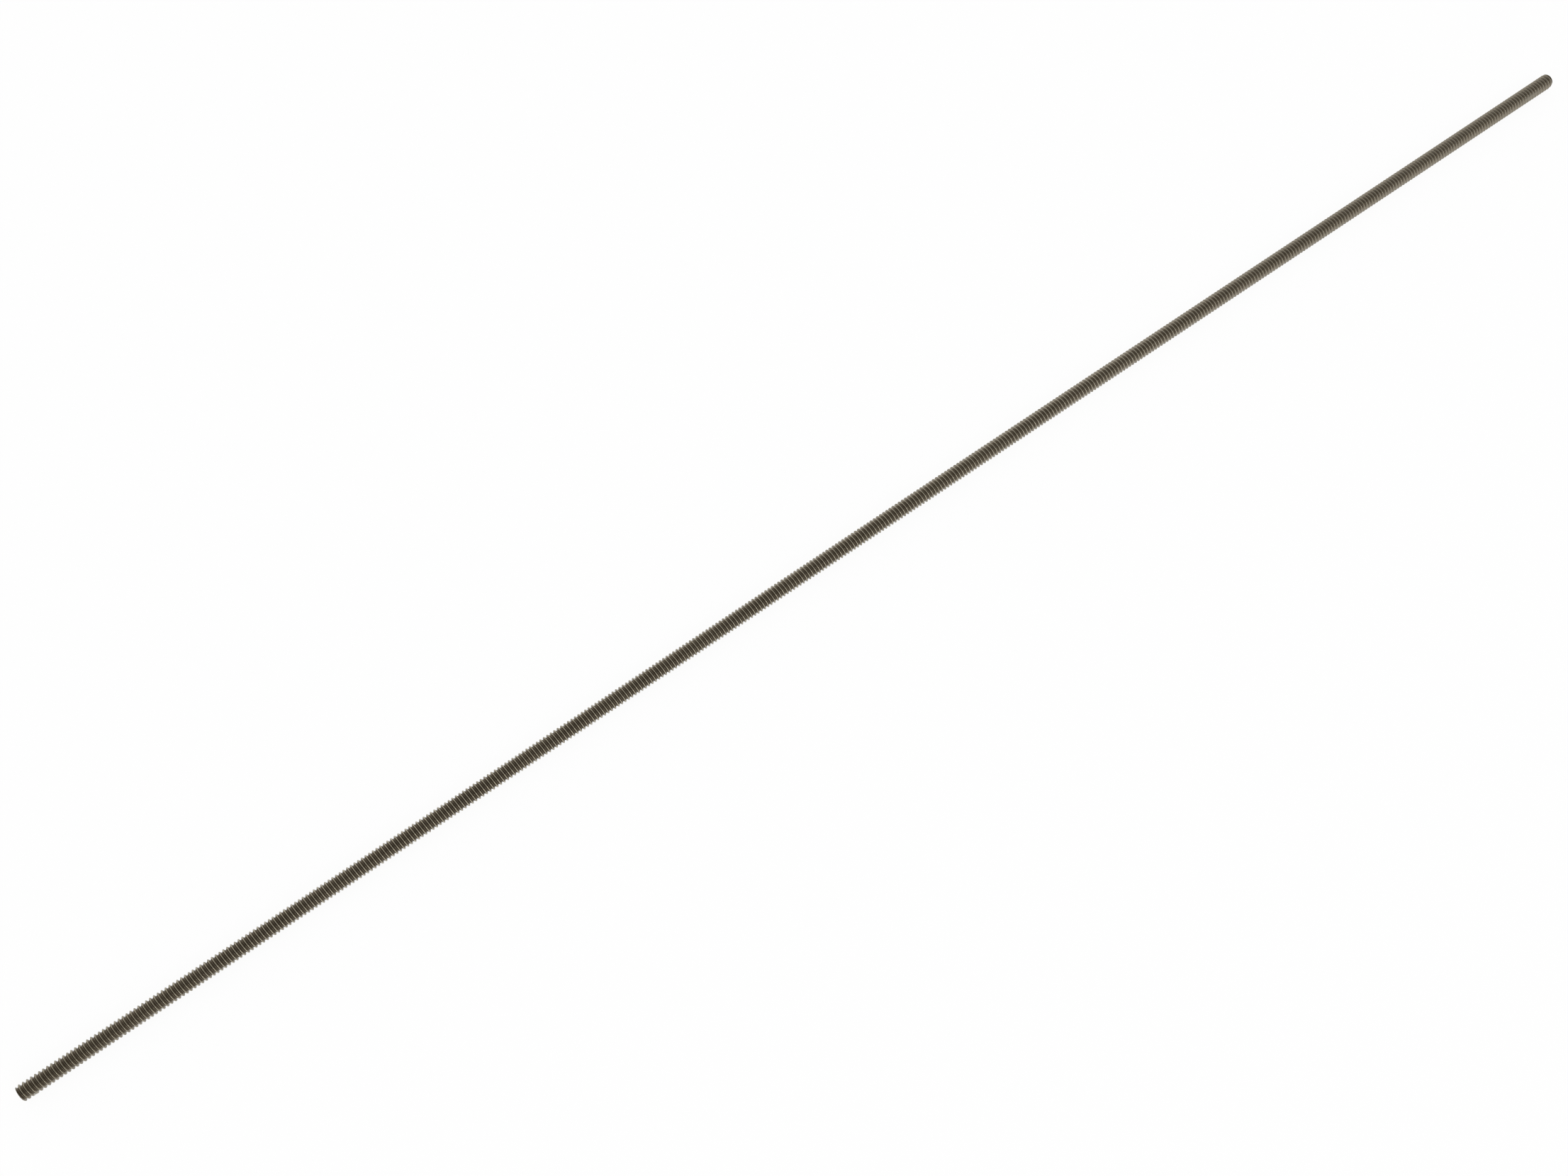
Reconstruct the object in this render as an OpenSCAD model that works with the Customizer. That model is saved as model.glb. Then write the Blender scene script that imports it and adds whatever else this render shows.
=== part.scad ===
// A length of fine threaded rod: one piece of plain steel, threaded from end to end.
// The rod lies along X with its axis on the X axis and its middle at the origin, and +Z is up.
// The thread is a 40 turns to the inch unified coarse thread, 12 inches long, so it has 480 turns.
// Each turn is drawn as a ring of the true section, one pitch after another, with exact cones for
// the flanks and exact cylinders for the crests and roots. The real thread winds right-handed.

/* [Rod] */
// Length of the rod from end face to end face
rod_length = 304.8; // [20:0.1:310]
// Diameter over the crests, at the small end of what this thread allows: its nominal size is 2.845
major_d = 2.7; // [2.3:0.01:6]

/* [Thread] */
// Distance along the rod from one crest to the next
pitch = 0.635; // [0.6:0.005:1.1]
// Angle between the two flanks of a groove
thread_angle = 60; // [50:1:90]
// Width of the flat that runs along each crest
crest_flat = 0.11; // [0.04:0.01:0.2]
// Width of the flat at the bottom of each groove
root_flat = 0.1; // [0.04:0.01:0.2]

/* [Ends] */
// Length of the chamfer at each end, measured along the rod
chamfer_length = 0.42; // [0.1:0.01:0.6]
// Depth of the chamfer at each end, measured in from the crests
chamfer_depth = 0.36; // [0.1:0.01:0.6]

/* [Hidden] */

$fn = 48;

steel_colour = [0.47, 0.45, 0.41];

major_r = major_d / 2;
groove_mouth = pitch - crest_flat;
flank_length = (groove_mouth - root_flat) / 2;
thread_depth = flank_length / tan(thread_angle / 2);
root_r = major_r - thread_depth;

// Whole turns that cover the rod. The first crest is centred on the lower end face.
turns = ceil(rod_length / pitch);
first_crest = -rod_length / 2;

// The four corners of one turn of the section, from the end of a crest to the start of the next.
function turn_points(i) =
    let (crest = first_crest + i * pitch, groove = crest + crest_flat / 2)
    [
        [major_r, groove],
        [root_r, groove + flank_length],
        [root_r, groove + flank_length + root_flat],
        [major_r, groove + groove_mouth]
    ];

// Half of the rod's section, with the axis at the left and the grooves down its right side.
module thread_section() {
    low = first_crest - pitch;
    high = first_crest + (turns + 1) * pitch;
    grooves = [for (i = [0 : turns - 1]) each turn_points(i)];
    polygon(concat([[0, low], [major_r, low]], grooves, [[major_r, high], [0, high]]));
}

// Half of the outline of the bar before threading, with a chamfer at each end.
module blank_section() {
    end = rod_length / 2;
    shoulder = end - chamfer_length;
    end_r = major_r - chamfer_depth;
    polygon([
        [0, -end], [end_r, -end], [major_r, -shoulder],
        [major_r, shoulder], [end_r, end], [0, end]
    ]);
}

module threaded_rod() {
    color(steel_colour)
        rotate([0, 90, 0])
            rotate_extrude()
                intersection() {
                    blank_section();
                    thread_section();
                }
}

threaded_rod();
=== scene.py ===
"""A fine threaded rod of plain steel, lying on white paper and seen from above, in Blender 4.5.

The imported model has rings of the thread's section. This script winds the real right-hand helix at
the same pitch, wears it as the rod in the photograph is worn, rounds its two cut ends, and gives it
its steel. Lengths are in metres. The rod lies along X, with its middle at the origin.
"""

import math
import random
from collections import namedtuple

import bmesh
import bpy
import numpy as np
from mathutils import Matrix, Vector


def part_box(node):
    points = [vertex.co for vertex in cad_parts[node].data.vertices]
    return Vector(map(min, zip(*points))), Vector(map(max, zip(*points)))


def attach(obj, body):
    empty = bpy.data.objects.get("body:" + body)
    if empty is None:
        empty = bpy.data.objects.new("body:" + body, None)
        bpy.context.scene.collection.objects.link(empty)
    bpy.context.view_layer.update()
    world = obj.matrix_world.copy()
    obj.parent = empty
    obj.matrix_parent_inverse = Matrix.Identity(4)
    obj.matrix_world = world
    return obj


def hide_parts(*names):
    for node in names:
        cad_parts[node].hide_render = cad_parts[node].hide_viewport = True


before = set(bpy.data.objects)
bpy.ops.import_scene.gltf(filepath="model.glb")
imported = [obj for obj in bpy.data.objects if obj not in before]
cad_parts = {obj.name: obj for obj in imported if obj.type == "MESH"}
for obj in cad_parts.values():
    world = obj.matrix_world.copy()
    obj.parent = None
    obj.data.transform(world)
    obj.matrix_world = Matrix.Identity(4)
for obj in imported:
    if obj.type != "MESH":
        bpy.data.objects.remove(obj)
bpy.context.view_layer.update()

MM = 0.001
ROD = "threaded_rod"

rod_low, rod_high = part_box(ROD)
ROD_LENGTH = rod_high.x - rod_low.x
MAJOR_R = (rod_high.z - rod_low.z) / 2

# The thread's section, as in the solid.
PITCH = 0.635 * MM
THREAD_ANGLE = math.radians(60)
CREST_FLAT = 0.11 * MM
ROOT_FLAT = 0.10 * MM
FLANK_LENGTH = (PITCH - CREST_FLAT - ROOT_FLAT) / 2
THREAD_DEPTH = FLANK_LENGTH / math.tan(THREAD_ANGLE / 2)
ROOT_R = MAJOR_R - THREAD_DEPTH

# The crests are worn down a little, to a narrow round ridge: half its width, and how far its edges
# lie below its middle. The flanks run straight from there to the roots.
CREST_WEAR = 0.035 * MM
CREST_R = MAJOR_R - CREST_WEAR
RIDGE_HALF = 0.070 * MM
RIDGE_DROP = 0.045 * MM
ROOT_START = CREST_FLAT / 2 + FLANK_LENGTH
FLANK_LEAN = math.atan2(CREST_R - RIDGE_DROP - ROOT_R, ROOT_START - RIDGE_HALF)

# The rounded ends: how long and how deep each round is, and how far it is off the axis towards the
# upper edge in the photograph, so that the lower edge is rounded more.
End = namedtuple("End", "length depth shift")
NEAR_END = End(length=0.55 * MM, depth=0.42 * MM, shift=0.11 * MM)
FAR_END = End(length=1.60 * MM, depth=0.50 * MM, shift=0.075 * MM)

# How finely the helix, the blank and its rounded ends are drawn.
STEPS_A_TURN = 36
BLANK_SIDES = 64
ROUND_STEPS = 6

# The helix is wound some turns too long, then cut a little beyond the rod's ends, where the cut
# falls between its points.
SPARE_TURNS = 4
SPARE_LENGTH = 0.514 * PITCH

# Angles around the rod, from +Y towards +Z: the side that faces the camera, the rod's upper and
# lower edges in the photograph, and the place where a crest runs out at the low end.
CAMERA_SIDE = math.radians(109)
UPPER_EDGE = CAMERA_SIDE - math.pi / 2
LOWER_EDGE = CAMERA_SIDE + math.pi / 2
THREAD_START = math.radians(90)

# How far round from the camera's side the smear lies, in radians.
SMEAR_TURN = 0.70

# Marks of handling. Each has its place along and around the rod, how far it spreads along and
# around, how far it presses the crests in, and how far it fills the grooves.
Mark = namedtuple("Mark", "x angle length width press fill")
BURR = Mark(
    x=rod_low.x + 2.8 * PITCH,
    angle=LOWER_EDGE,
    length=0.8 * PITCH,
    width=0.45 * MM,
    press=0,
    fill=0.3 * MM,
)
SMEAR = Mark(
    x=rod_high.x - 8.8 * PITCH,
    angle=CAMERA_SIDE + SMEAR_TURN,
    length=3.8 * PITCH,
    width=0.55 * MM,
    press=0.02 * MM,
    fill=0.05 * MM,
)

# Small nicks in the crests: how many, the limits of their sizes, and the seed that places them.
NICK_COUNT = 90
NICK_LENGTH = (0.10 * MM, 0.25 * MM)
NICK_WIDTH = (0.08 * MM, 0.20 * MM)
NICK_PRESS = (0.010 * MM, 0.040 * MM)
NICK_SEED = 440


def thread_section():
    """One turn of the section, from the middle of a crest to just before the next.

    Each point is its distance along the axis, its radius, and how far the surface there leans from
    facing straight out.
    """
    ridge_edge = CREST_R - RIDGE_DROP
    return np.array(
        [
            (0, CREST_R, 0),
            (RIDGE_HALF, ridge_edge, FLANK_LEAN),
            (ROOT_START, ROOT_R, FLANK_LEAN),
            (ROOT_START + ROOT_FLAT, ROOT_R, -FLANK_LEAN),
            (PITCH - RIDGE_HALF, ridge_edge, -FLANK_LEAN),
        ]
    )


def on_helix(x, angle):
    """The height and the lean that the thread has before any marks, at any places.

    The height goes from 0 at the root to 1 at the solid's crest. The lean is the section's.
    """
    distance, radius, lean = thread_section().T
    here = x - PITCH * (angle - THREAD_START) / (2 * np.pi)
    height = np.interp(here, distance, (radius - ROOT_R) / THREAD_DEPTH, period=PITCH)
    return height, np.interp(here, distance, lean, period=PITCH)


def all_marks():
    """The photograph's two larger marks, and the nicks, which are the same in each run."""
    chance = random.Random(NICK_SEED)
    marks = [BURR, SMEAR]
    for _ in range(NICK_COUNT):
        x = chance.uniform(rod_low.x, rod_high.x)
        angle = chance.uniform(-math.pi, math.pi)
        size = [chance.uniform(*limits) for limits in (NICK_LENGTH, NICK_WIDTH, NICK_PRESS)]
        marks.append(Mark(x, angle, *size, fill=0))
    return marks


MARKS = all_marks()


def wear(x, angle):
    """How far the marks press the crests in, and how far they fill the grooves, at any places."""
    press = np.zeros(x.shape)
    fill = np.zeros(x.shape)
    for mark in MARKS:
        turn = (angle - mark.angle + np.pi) % (2 * np.pi) - np.pi
        away = ((x - mark.x) / mark.length) ** 2 + (turn * MAJOR_R / mark.width) ** 2
        # Nearly even over the mark, then falling off fast.
        strength = np.exp(-(away**2))
        press += mark.press * strength
        fill += mark.fill * strength
    return press, fill


def helix_points():
    """The wound surface as a grid of points, with one row for each step around the axis."""
    section = thread_section()
    turns = round(ROD_LENGTH / PITCH) + SPARE_TURNS
    steps = np.arange(-turns * STEPS_A_TURN // 2, turns * STEPS_A_TURN // 2 + 1)
    x = PITCH * steps[:, None] / STEPS_A_TURN + section[None, :, 0]
    angle = np.broadcast_to(THREAD_START + 2 * np.pi * steps[:, None] / STEPS_A_TURN, x.shape)
    height = (section[None, :, 1] - ROOT_R) / THREAD_DEPTH
    press, fill = wear(x, angle)
    radius = ROOT_R + THREAD_DEPTH * height - press * height + fill * (1 - height)
    return np.stack([x, radius * np.cos(angle), radius * np.sin(angle)], axis=2)


def helix_faces(rows, columns):
    """The faces of a wound grid of points, each as the numbers of its four corners."""

    def index(row, column):
        # A row's last point joins the first point of the row one whole turn further on.
        if column == columns:
            return (row + STEPS_A_TURN) * columns
        return row * columns + column

    faces = []
    for row in range(rows - 1 - STEPS_A_TURN):
        for column in range(columns):
            corners = (
                index(row, column),
                index(row + 1, column),
                index(row + 1, column + 1),
                index(row, column + 1),
            )
            faces.append(corners)
    return faces


def close_end(bm, side):
    """Cuts the wound surface square beyond the rod's end on one side, and caps it."""
    cut = bmesh.ops.bisect_plane(
        bm,
        geom=bm.verts[:] + bm.edges[:] + bm.faces[:],
        plane_co=(side * (ROD_LENGTH / 2 + SPARE_LENGTH), 0, 0),
        plane_no=(side, 0, 0),
        clear_outer=True,
    )
    rim = [edge for edge in cut["geom_cut"] if isinstance(edge, bmesh.types.BMEdge)]
    cap = bmesh.ops.contextual_create(bm, geom=rim)["faces"][0]
    cap.normal_update()
    if cap.normal.x * side < 0:
        cap.normal_flip()


def helix_bar():
    """A closed bar with the thread wound round it, a little longer than the rod at both ends."""
    points = helix_points()
    faces = helix_faces(*points.shape[:2])
    mesh = bpy.data.meshes.new("helix")
    mesh.from_pydata(points.reshape(-1, 3).tolist(), [], faces)
    bm = bmesh.new()
    bm.from_mesh(mesh)
    for side in (-1, 1):
        close_end(bm, side)
    for face in bm.faces:
        face.smooth = True
    bm.to_mesh(mesh)
    bm.free()
    return mesh


def round_end(end):
    """Rings of the blank at one end: each one's distance from the end face, radius and shift."""
    # The first ring is further in, and wide of the crests.
    rings = [(end.length + PITCH, MAJOR_R + PITCH, end.shift)]
    for step in range(ROUND_STEPS + 1):
        turn = math.pi / 2 * step / ROUND_STEPS
        radius = MAJOR_R + end.shift - end.depth * (1 - math.cos(turn))
        rings.append((end.length * (1 - math.sin(turn)), radius, end.shift))
    return rings


def blank():
    """The bar that the thread is trimmed to: round, clear of the crests, with two rounded ends."""
    near = [(rod_low.x + inward, radius, shift) for inward, radius, shift in round_end(NEAR_END)]
    far = [(rod_high.x - inward, radius, shift) for inward, radius, shift in round_end(FAR_END)]
    bm = bmesh.new()
    rings = []
    for x, radius, shift in near[::-1] + far:
        ring = []
        for side in range(BLANK_SIDES):
            angle = 2 * math.pi * side / BLANK_SIDES
            y = radius * math.cos(angle) + shift * math.cos(UPPER_EDGE)
            z = radius * math.sin(angle) + shift * math.sin(UPPER_EDGE)
            ring.append(bm.verts.new((x, y, z)))
        rings.append(ring)
    for ring, after in zip(rings, rings[1:]):
        for side in range(BLANK_SIDES):
            following = (side + 1) % BLANK_SIDES
            bm.faces.new((ring[side], ring[following], after[following], after[side]))
    bm.faces.new(rings[0])
    bm.faces.new(rings[-1])
    bmesh.ops.recalc_face_normals(bm, faces=bm.faces)
    mesh = bpy.data.meshes.new("blank")
    bm.to_mesh(mesh)
    bm.free()
    return mesh


def trim(mesh, cutter_mesh):
    """Keeps what two closed meshes share."""
    bar = bpy.data.objects.new("bar", mesh)
    cutter = bpy.data.objects.new("cutter", cutter_mesh)
    for thing in (bar, cutter):
        bpy.context.scene.collection.objects.link(thing)
    cut = bar.modifiers.new("trim", "BOOLEAN")
    cut.operation = "INTERSECT"
    cut.solver = "EXACT"
    cut.object = cutter
    seen = bar.evaluated_get(bpy.context.evaluated_depsgraph_get())
    result = bpy.data.meshes.new_from_object(seen)
    for thing in (bar, cutter):
        bpy.data.objects.remove(thing)
    return result


def thread_normals(x, angle, radius):
    """The normals of the worn helix, from the slopes of its radius along and around the rod."""
    # The step over which the slopes of the marks are measured.
    tiny = 0.001 * MM
    height, lean = on_helix(x, angle)
    press, fill = wear(x, angle)
    press_on, fill_on = wear(x + tiny, angle)
    press_round, fill_round = wear(x, angle + tiny / MAJOR_R)
    # Pressed crests and filled grooves both make the flanks between them less steep.
    steepness = 1 - (press + fill) / THREAD_DEPTH
    winding = -np.tan(lean) * steepness
    along = winding - (press_on - press) / tiny * height + (fill_on - fill) / tiny * (1 - height)
    lead = PITCH / (2 * np.pi * radius)
    around = -winding * lead - (press_round - press) / tiny * height
    around += (fill_round - fill) / tiny * (1 - height)
    normals = np.stack(
        [
            -along,
            np.cos(angle) + around * np.sin(angle),
            np.sin(angle) - around * np.cos(angle),
        ],
        axis=1,
    )
    return normals / np.linalg.norm(normals, axis=1, keepdims=True)


def face_thread(mesh):
    """Gives the thread's corners the helix's own normals, and leaves the cut ends flat."""
    points = np.empty(len(mesh.vertices) * 3)
    mesh.vertices.foreach_get("co", points)
    x, y, z = points.reshape(-1, 3).T
    normals = thread_normals(x, np.arctan2(z, y), np.hypot(y, z))
    corner_point = np.empty(len(mesh.loops), dtype=int)
    mesh.loops.foreach_get("vertex_index", corner_point)
    sizes = np.empty(len(mesh.polygons), dtype=int)
    mesh.polygons.foreach_get("loop_total", sizes)
    smooth = np.empty(len(mesh.polygons), dtype=bool)
    mesh.polygons.foreach_get("use_smooth", smooth)
    corner_normals = normals[corner_point]
    corner_normals[~np.repeat(smooth, sizes)] = 0
    mesh.normals_split_custom_set(corner_normals.tolist())


def make_rod():
    """The rod, as one closed mesh."""
    mesh = trim(helix_bar(), blank())
    face_thread(mesh)
    mesh.name = "rod"
    rod = bpy.data.objects.new("rod", mesh)
    bpy.context.scene.collection.objects.link(rod)
    return rod


class Nodes:
    """Shorthand for adding nodes to a tree and wiring them."""

    def __init__(self, tree):
        self.tree = tree

    def put(self, value, socket):
        """Wires another node's output to a socket, or gives the socket a plain value."""
        if isinstance(value, bpy.types.NodeSocket):
            self.tree.links.new(value, socket)
        else:
            socket.default_value = value

    def add(self, kind, inputs=None, **settings):
        """Adds a shader node with its settings, and puts a value to each of the inputs named."""
        node = self.tree.nodes.new("ShaderNode" + kind)
        for name, value in settings.items():
            setattr(node, name, value)
        for name, value in (inputs or {}).items():
            self.put(value, node.inputs[name])
        return node

    def math(self, operation, a, b=0.0):
        """One step of arithmetic on two numbers, or on the first alone."""
        return self.add("Math", {0: a, 1: b}, operation=operation).outputs[0]

    def ramp(self, value, low, high, out_low=0.0, out_high=1.0):
        """Carries value from low..high to out_low..out_high, smoothly and within those limits."""
        inputs = {
            "Value": value,
            "From Min": low,
            "From Max": high,
            "To Min": out_low,
            "To Max": out_high,
        }
        return self.add("MapRange", inputs, interpolation_type="SMOOTHSTEP").outputs[0]

    def noise(self, place, size, detail=2.0, rough=0.5):
        """Noise from 0 to 1 whose spots are about size across."""
        inputs = {"Vector": place, "Scale": 1 / size, "Detail": detail, "Roughness": rough}
        return self.add("TexNoise", inputs).outputs["Fac"]

    # A Mix node has a pair of inputs and an output for each kind of data, all with the same names,
    # so they are told apart by their numbers.

    def blend(self, share, first, second):
        """Mixes two colours, from the first at 0 to the second at 1."""
        node = self.add("Mix", {0: share, 6: first, 7: second}, data_type="RGBA")
        return node.outputs[2]

    def blend_number(self, share, first, second):
        """Mixes two numbers, from the first at 0 to the second at 1."""
        node = self.add("Mix", {0: share, 2: first, 3: second}, data_type="FLOAT")
        return node.outputs[0]

    def across_rod(self, place):
        """A place without its distance along the rod."""
        return self.add("VectorMath", {0: place, 1: (0, 1, 1)}, operation="MULTIPLY").outputs[0]

    def along_rod(self, place):
        """A place's distance along the rod, from the rod's middle."""
        return self.add("SeparateXYZ", {0: place}).outputs["X"]


def colour(red, green, blue):
    return (red, green, blue, 1)


# The steel's colours. The flanks, the roots and the crests each vary between two; the crests are
# much lighter, partly as worn metal and partly as a painted highlight.
FLANK_COLOURS = (colour(0.240, 0.212, 0.168), colour(0.270, 0.239, 0.192))
ROOT_COLOURS = (colour(0.245, 0.213, 0.167), colour(0.275, 0.241, 0.191))
WORN_CREST_HIGHLIGHT_COLOURS = (colour(0.51, 0.465, 0.347), colour(0.58, 0.530, 0.400))
# A darker crest colour: painted shade that fades the crests' highlight towards the rod's ends.
CREST_HIGHLIGHT_FADE_COLOUR = colour(0.39, 0.352, 0.255)
SMEAR_COLOUR = colour(0.34, 0.32, 0.27)
BURR_COLOUR = colour(0.85, 0.84, 0.80)

# How much of the smear's colour covers the steel.
SMEAR_SHARE = 0.4

# How far the colour of a mark reaches, in its own lengths and widths.
MARK_REACH = 1.5

GROOVE_ROUGHNESS = (0.28, 0.40)
CREST_ROUGHNESS = (0.20, 0.28)

# The radii where the crests' lighter colour, worn metal with a painted highlight, begins and is
# whole, and where the roots' colour has ended.
CREST_BEGINS_R = CREST_R - 0.11 * THREAD_DEPTH
CREST_WHOLE_R = CREST_R - 0.03 * THREAD_DEPTH
ROOT_ENDS_R = CREST_R - 0.3 * THREAD_DEPTH

# How far from the low end and from the high end the crests are painted darker, a painted fade of
# their highlight towards the ends.
HIGHLIGHT_FADE_NEAR = 50 * MM
HIGHLIGHT_FADE_FAR = 110 * MM

# The sizes of the fine and the broad patches of colour, and the parts of their noise that count.
MOTTLE_SIZE = 0.5 * MM
DRIFT_SIZE = 14 * MM
PATCHES = (0.35, 0.65)
SOFT_PATCHES = (0.3, 0.7)

# The fine grain in the steel's surface.
GRAIN_SIZE = 0.12 * MM
GRAIN_HEIGHT = 0.006 * MM
GRAIN_STRENGTH = 0.35


def near_mark(nodes, place, mark):
    """1 at a mark and 0 away from it, over the mark's own length and width."""
    centre = (0, MAJOR_R * math.cos(mark.angle), MAJOR_R * math.sin(mark.angle))
    points = {0: nodes.across_rod(place), 1: centre}
    across = nodes.add("VectorMath", points, operation="DISTANCE").outputs["Value"]
    along = nodes.math("ABSOLUTE", nodes.math("SUBTRACT", nodes.along_rod(place), mark.x))
    near_across = nodes.ramp(across, 0, MARK_REACH * mark.width, 1, 0)
    near_along = nodes.ramp(along, 0, MARK_REACH * mark.length, 1, 0)
    return nodes.math("MULTIPLY", near_across, near_along)


def steel():
    """Plain oiled steel over darker grooves, with lighter crests that are partly worn metal and
    partly a painted highlight, painted brightest in the middle of the rod.
    """
    material = bpy.data.materials.new("plain_steel")
    material.use_nodes = True
    nodes = Nodes(material.node_tree)
    shader = material.node_tree.nodes["Principled BSDF"]
    shader.inputs["Metallic"].default_value = 1

    place = nodes.add("TexCoord").outputs["Object"]
    along = nodes.along_rod(place)
    across = nodes.across_rod(place)
    radius = nodes.add("VectorMath", {0: across}, operation="LENGTH").outputs["Value"]
    on_crest = nodes.ramp(radius, CREST_BEGINS_R, CREST_WHOLE_R)
    in_root = nodes.ramp(radius, ROOT_R, ROOT_ENDS_R, 1, 0)
    # Painted fade of the crests' highlight: darker towards both ends of the rod.
    highlight_fade_near = nodes.ramp(along, rod_low.x, rod_low.x + HIGHLIGHT_FADE_NEAR, 1, 0)
    highlight_fade_far = nodes.ramp(along, rod_high.x - HIGHLIGHT_FADE_FAR, rod_high.x - HIGHLIGHT_FADE_FAR / 2)
    highlight_fade = nodes.math("MAXIMUM", highlight_fade_near, highlight_fade_far)
    mottle = nodes.noise(place, MOTTLE_SIZE, detail=4, rough=0.6)
    drift = nodes.noise(place, DRIFT_SIZE)

    flank = nodes.blend(nodes.ramp(mottle, *PATCHES), *FLANK_COLOURS)
    root = nodes.blend(nodes.ramp(drift, *PATCHES), *ROOT_COLOURS)
    groove = nodes.blend(in_root, flank, root)
    # The crests' lighter colour is partly worn metal and partly a painted highlight.
    crest = nodes.blend(nodes.ramp(mottle, *SOFT_PATCHES), *WORN_CREST_HIGHLIGHT_COLOURS)
    # The crests are painted darker towards both ends, fading their painted highlight.
    crest = nodes.blend(highlight_fade, crest, CREST_HIGHLIGHT_FADE_COLOUR)
    clean = nodes.blend(on_crest, groove, crest)
    smear = nodes.math("MULTIPLY", near_mark(nodes, place, SMEAR), SMEAR_SHARE)
    smeared = nodes.blend(smear, clean, SMEAR_COLOUR)
    scraped = nodes.blend(near_mark(nodes, place, BURR), smeared, BURR_COLOUR)
    nodes.put(scraped, shader.inputs["Base Color"])

    groove_roughness = nodes.ramp(mottle, *SOFT_PATCHES, *GROOVE_ROUGHNESS)
    crest_roughness = nodes.ramp(drift, *SOFT_PATCHES, *CREST_ROUGHNESS)
    roughness = nodes.blend_number(on_crest, groove_roughness, crest_roughness)
    nodes.put(roughness, shader.inputs["Roughness"])

    grain = nodes.noise(place, GRAIN_SIZE, detail=3, rough=0.6)
    bump_inputs = {"Height": grain, "Strength": GRAIN_STRENGTH, "Distance": GRAIN_HEIGHT}
    bump = nodes.add("Bump", bump_inputs)
    nodes.put(bump.outputs[0], shader.inputs["Normal"])
    return material


# The paper is large, so that its edge is far off in a low view.
FLOOR_SIZE = 40 * ROD_LENGTH
FLOOR_COLOUR = colour(0.9, 0.9, 0.9)
FLOOR_ROUGHNESS = 0.9

# How much of the paper is plain white to the camera and to the steel, and how bright that white is.
# The rest takes light and shadow.
FLOOR_GLOW = 0.9
FLOOR_WHITE = 1.035


def make_floor():
    """White paper under the rod, which keeps a faint shadow."""
    bpy.ops.mesh.primitive_plane_add(size=FLOOR_SIZE, location=(0, 0, rod_low.z))
    floor = bpy.context.object
    floor.name = "paper"
    material = bpy.data.materials.new("white_paper")
    material.use_nodes = True
    nodes = Nodes(material.node_tree)
    paper = material.node_tree.nodes["Principled BSDF"]
    paper.inputs["Base Color"].default_value = FLOOR_COLOUR
    paper.inputs["Roughness"].default_value = FLOOR_ROUGHNESS
    paper.inputs["Specular IOR Level"].default_value = 0
    glow = nodes.add("Emission", {"Strength": FLOOR_WHITE})
    path = nodes.add("LightPath")
    seen = nodes.math("MAXIMUM", path.outputs["Is Camera Ray"], path.outputs["Is Glossy Ray"])
    share = nodes.math("MULTIPLY", seen, FLOOR_GLOW)
    mix = nodes.add("MixShader", {0: share, 1: paper.outputs[0], 2: glow.outputs[0]})
    nodes.put(mix.outputs[0], material.node_tree.nodes["Material Output"].inputs["Surface"])
    floor.data.materials.append(material)


# How bright the studio is near the floor and overhead, and the heights between which it changes.
SKY_LOW = 1.0
SKY_HIGH = 0.70
SKY_RISE = (0.2, 0.8)

# What share of that is left beyond the rod's ends, and the part of a direction's X over which it
# changes.
SKY_ENDS = 0.45
SKY_ENDS_X = (0.2, 0.8)

# What share of it there is across the rod from the camera's side, and the part of a direction's Y
# over which it changes.
SKY_ACROSS = 1.14
SKY_ACROSS_Y = (-0.5, 0.7)


def make_world():
    """A pale studio, a little darker overhead and beyond the rod's ends."""
    world = bpy.data.worlds.new("studio")
    world.use_nodes = True
    nodes = Nodes(world.node_tree)
    direction = nodes.add("TexCoord").outputs["Generated"]
    part = nodes.add("SeparateXYZ", {0: direction}).outputs
    brightness = nodes.ramp(part["Z"], *SKY_RISE, SKY_LOW, SKY_HIGH)
    lengthwise = nodes.math("ABSOLUTE", part["X"])
    ends = nodes.ramp(lengthwise, *SKY_ENDS_X, 1, SKY_ENDS)
    across = nodes.ramp(part["Y"], *SKY_ACROSS_Y, 1, SKY_ACROSS)
    brightness = nodes.math("MULTIPLY", brightness, nodes.math("MULTIPLY", ends, across))
    background = world.node_tree.nodes["Background"]
    nodes.put(brightness, background.inputs["Strength"])
    background.inputs["Color"].default_value = colour(1, 1, 1)
    bpy.context.scene.world = world


# The key lamp: where it is from the rod's middle, its length and width, and its power in watts.
KEY_DIRECTION = Vector((0.02, -0.78, 0.62)).normalized()
KEY_DISTANCE = 1.2
KEY_SIZE = (0.8, 0.2)
KEY_POWER = 1.1


def make_key():
    """A long soft lamp along the rod, which faces the rod's middle."""
    data = bpy.data.lights.new("key", "AREA")
    data.shape = "RECTANGLE"
    data.size, data.size_y = KEY_SIZE
    data.energy = KEY_POWER
    lamp = bpy.data.objects.new("key", data)
    lamp.location = KEY_DIRECTION * KEY_DISTANCE
    lamp.rotation_euler = KEY_DIRECTION.to_track_quat("Z", "Y").to_euler()
    bpy.context.scene.collection.objects.link(lamp)


# The photograph's frame and its lens, in pixels.
IMAGE_W = 2212
IMAGE_H = 1659
FOCAL_PX = 2550

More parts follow.
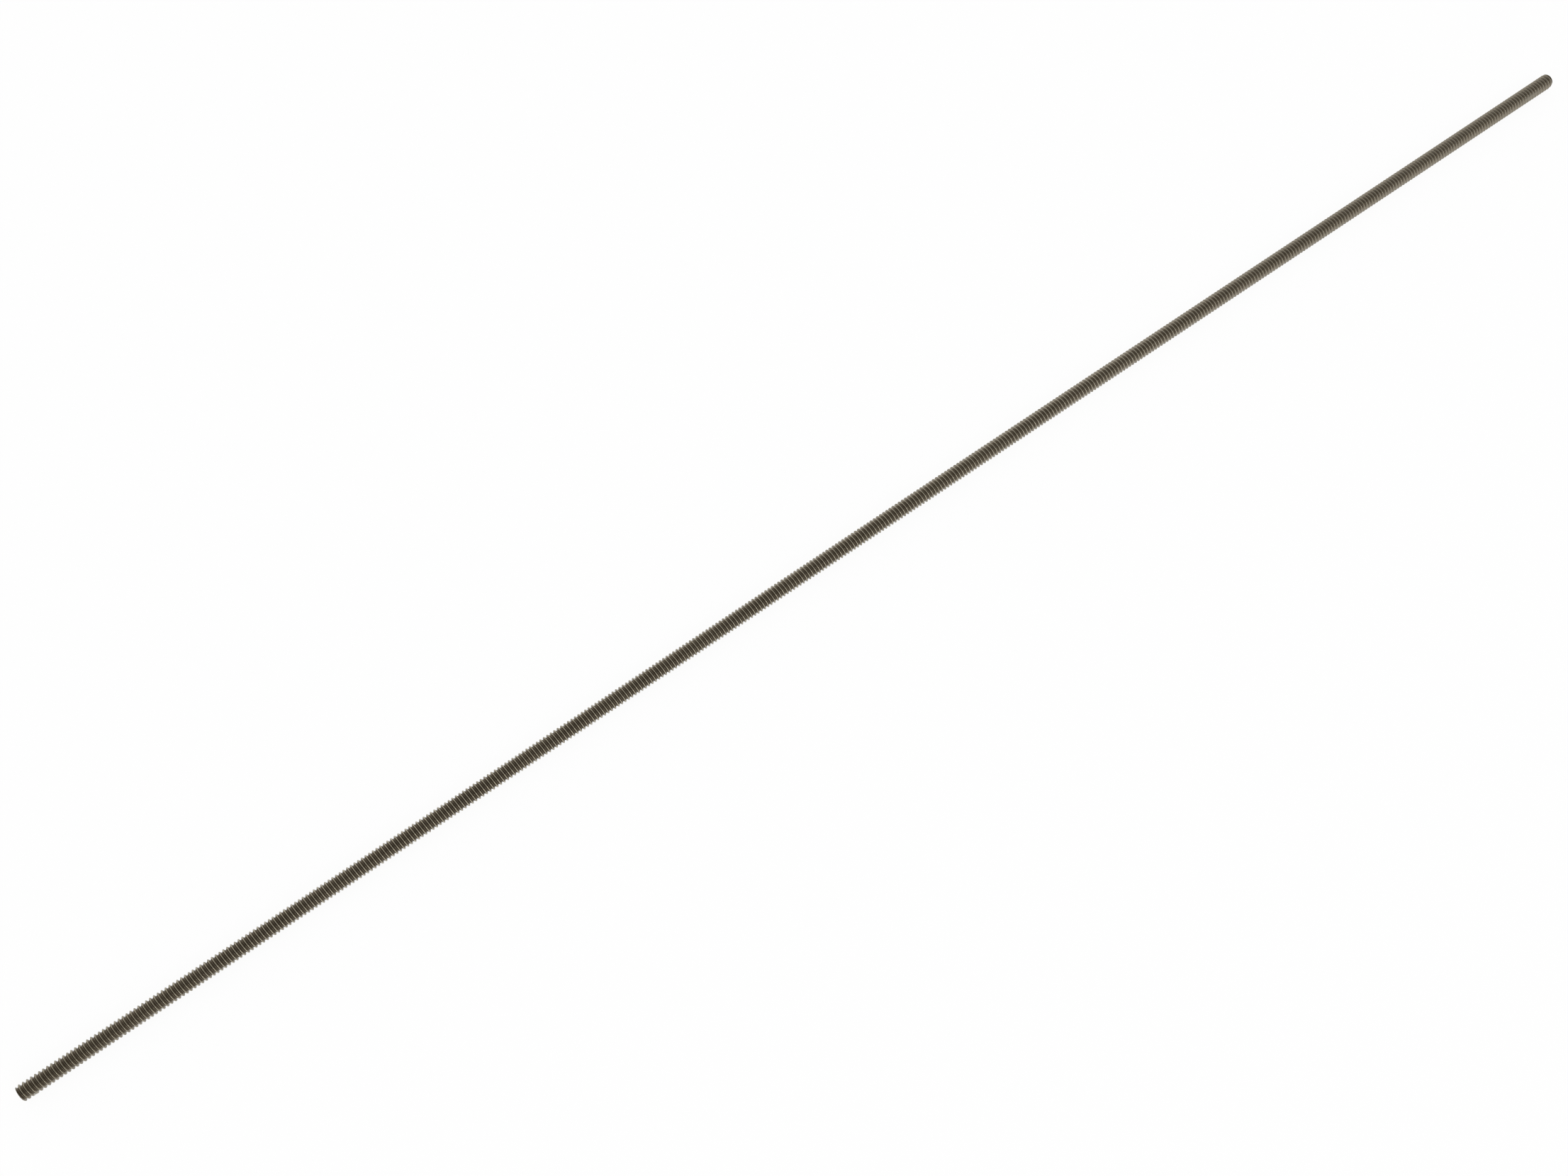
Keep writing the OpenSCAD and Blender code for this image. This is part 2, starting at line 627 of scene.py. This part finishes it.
# The rod's place in the photograph, in pixels: its slant, the point of its axis that is nearest the
# image's middle, and how far along the axis from there it vanishes and has its two ends.
ROD_SLANT = math.radians(33.575)
ROD_MIDDLE_PX = (1106.64, 828.14)
AXIS_VANISHES_PX = 10844
NEAR_END_PX = -1294.3
FAR_END_PX = 1293.1

# The width of the camera's sensor, which any lens is measured against, and the least distance at
# which it sees.
SENSOR_MM = 36
CLIP_START = 10 * MM


def make_camera():
    """A level camera above the rod, set so that the axis runs and shrinks as in the photograph."""
    tilt = math.atan(FOCAL_PX / AXIS_VANISHES_PX)
    # The rod's direction in the camera's axes: right, up and towards the viewer.
    along = Vector(
        (
            math.cos(tilt) * math.cos(ROD_SLANT),
            math.cos(tilt) * math.sin(ROD_SLANT),
            -math.sin(tilt),
        )
    )
    elevation = math.atan2(along.y, -along.z)
    up = Vector((0, math.cos(elevation), math.sin(elevation)))
    across = up.cross(along)
    # Rows are the world's axes in the camera's, so the matrix turns camera axes into world axes.
    turn = Matrix((along, across, up))

    def reach(pixels):
        """Turns pixels along the axis into a length on the rod, for a camera one unit away."""
        return pixels / (FOCAL_PX * math.cos(tilt) - pixels * math.sin(tilt))

    near, far = reach(NEAR_END_PX), reach(FAR_END_PX)
    distance = ROD_LENGTH / (far - near)
    seen_at_middle = -ROD_LENGTH / 2 - near * distance
    # The way to ROD_MIDDLE_PX in the camera's axes, one unit deep.
    offset = Vector(
        (
            (ROD_MIDDLE_PX[0] - IMAGE_W / 2) / FOCAL_PX,
            (IMAGE_H / 2 - ROD_MIDDLE_PX[1]) / FOCAL_PX,
            -1,
        )
    )
    place = Vector((seen_at_middle, 0, 0)) - turn @ (offset * distance)
    data = bpy.data.cameras.new("camera")
    data.sensor_width = SENSOR_MM
    data.lens = SENSOR_MM * FOCAL_PX / IMAGE_W
    data.clip_start = CLIP_START
    camera = bpy.data.objects.new("camera", data)
    camera.matrix_world = Matrix.Translation(place) @ turn.to_4x4()
    bpy.context.scene.collection.objects.link(camera)
    bpy.context.scene.camera = camera


make_camera()
make_world()
make_key()
make_floor()
rod = make_rod()
rod.data.materials.append(steel())
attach(rod, "root")
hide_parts(ROD)
bpy.context.scene.view_settings.view_transform = "Standard"

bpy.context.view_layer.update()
